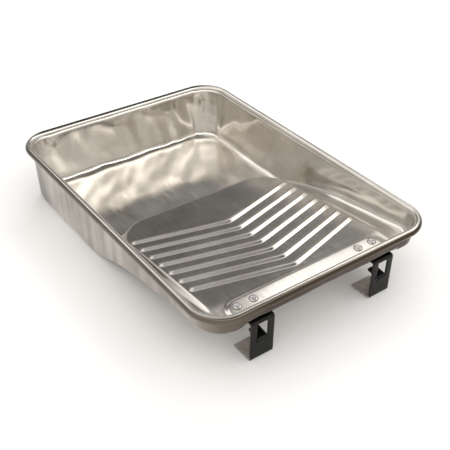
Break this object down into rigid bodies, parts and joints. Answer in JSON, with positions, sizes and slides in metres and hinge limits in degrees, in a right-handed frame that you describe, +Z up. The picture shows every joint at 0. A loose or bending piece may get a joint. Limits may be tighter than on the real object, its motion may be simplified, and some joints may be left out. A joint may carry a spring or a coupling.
{
  "type": "paint roller tray",
  "caption": "Pressed steel paint roller tray with a deep well, a ribbed ramp, a rolled rim and riveted hook legs under its shallow end.",
  "frame": {"origin": "on the base plane, under the middle of the rim", "axes": "+Z up, +Y towards the deep end, +X to the right as seen from the shallow end"},
  "size_m": [0.28, 0.396, 0.072],
  "materials": {
    "pan_steel": "bright tinned, satin, with draw marks",
    "leg_black": "satin black with bare cut edges",
    "rivet_steel": "bright"
  },
  "bodies": {
    "root": {"tray_pan": "pan_steel", "left_leg": "leg_black", "right_leg": "leg_black", "left_leg_rivet_outer": "rivet_steel", "left_leg_rivet_inner": "rivet_steel", "right_leg_rivet_inner": "rivet_steel", "right_leg_rivet_outer": "rivet_steel"}
  },
  "joints": []
}
